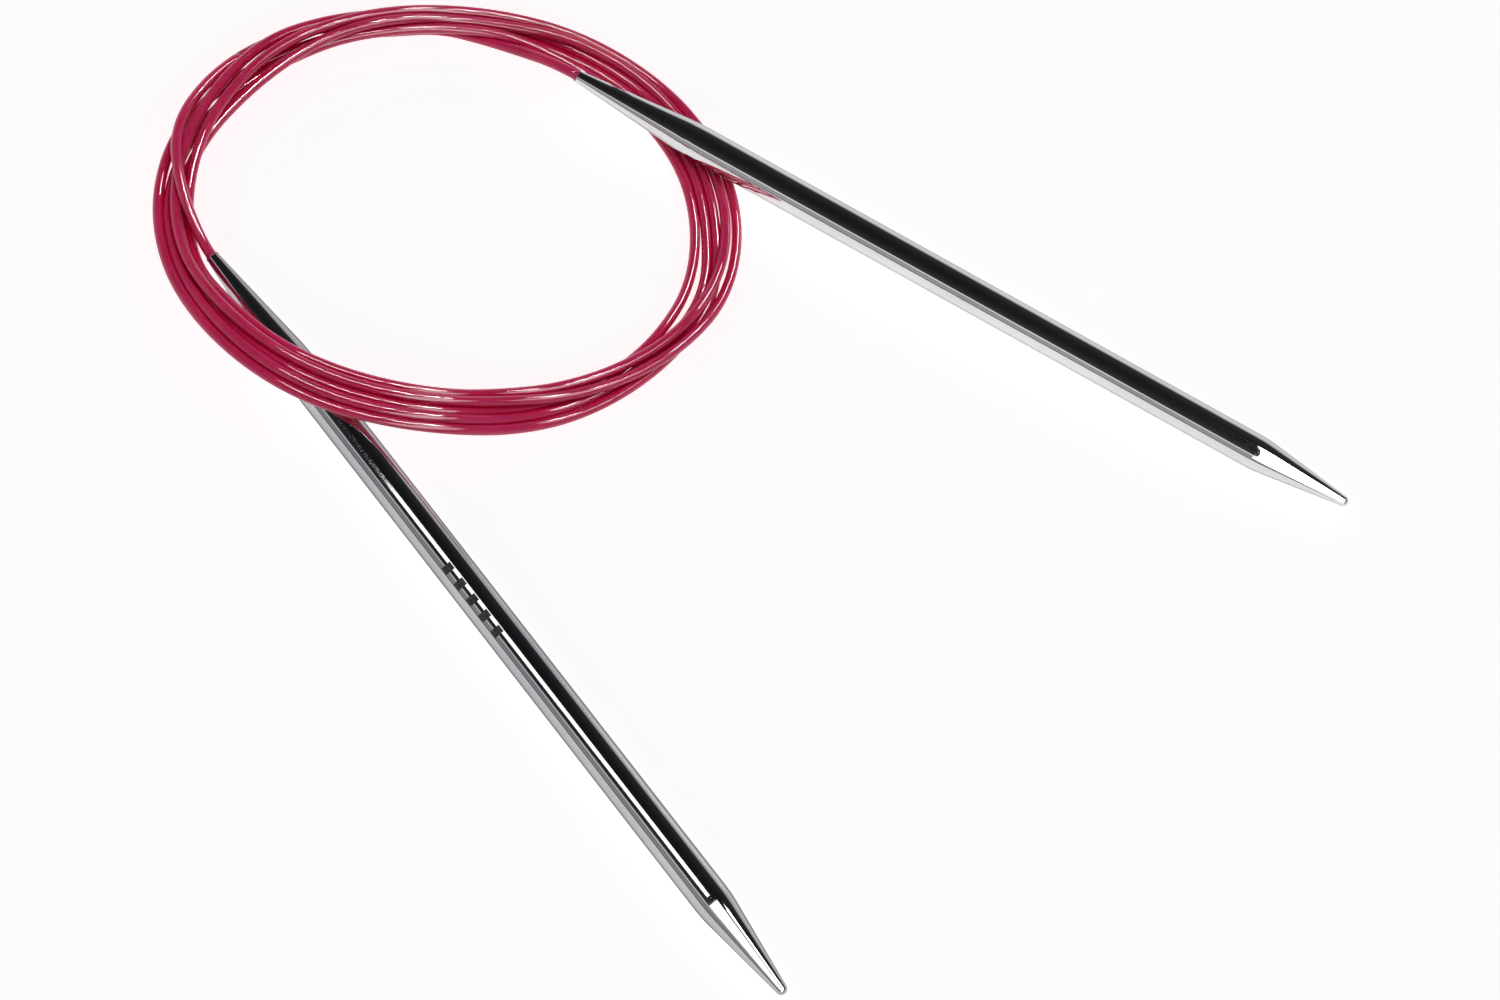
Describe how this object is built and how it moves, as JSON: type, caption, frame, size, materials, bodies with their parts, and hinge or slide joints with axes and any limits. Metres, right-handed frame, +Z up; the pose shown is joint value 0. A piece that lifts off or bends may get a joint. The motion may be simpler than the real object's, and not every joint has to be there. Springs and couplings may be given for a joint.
{
  "type": "circular knitting needle",
  "caption": "Two straight metal knitting needles joined end to end by a long limp plastic cord, which is wound in an oval coil between them.",
  "frame": {"origin": "on the table, in the middle of the box around the two metal needles", "axes": "+Z up from the table; +X along the length in which the two needles' points lie, from the cord's coil towards the points; +Y to the left of that"},
  "size_m": [0.1644, 0.1074, 0.0074],
  "materials": {
    "needle_metal": "mirror-bright plated metal",
    "cord_plastic": "glossy translucent raspberry-red plastic",
    "adhesive": "clear set adhesive, hidden inside the needle"
  },
  "bodies": {
    "cord": {"cord_coil": "cord_plastic", "cord_lead_a": "cord_plastic", "cord_lead_b": "cord_plastic"},
    "needle_a": {"needle_a": "needle_metal", "cord_end_a": "cord_plastic", "bond_a": "adhesive", "cord_exit_a": "cord_plastic"},
    "needle_b": {"needle_b": "needle_metal", "cord_end_b": "cord_plastic", "bond_b": "adhesive", "cord_exit_b": "cord_plastic"}
  },
  "joints": [
    {"name": "needle_a_swing", "type": "hinge", "parent": "cord", "child": "needle_a", "pos_m": [-0.05283, 0.04628, 0.00354], "axis": [0, 0, 1], "range_deg": [-4, 45], "stiffness_Nm_per_rad": 0.003},
    {"name": "needle_b_swing", "type": "hinge", "parent": "cord", "child": "needle_b", "pos_m": [-0.07938, -0.00086, 0.0032], "axis": [0, 0, 1], "range_deg": [-4, 8], "stiffness_Nm_per_rad": 0.003}
  ]
}
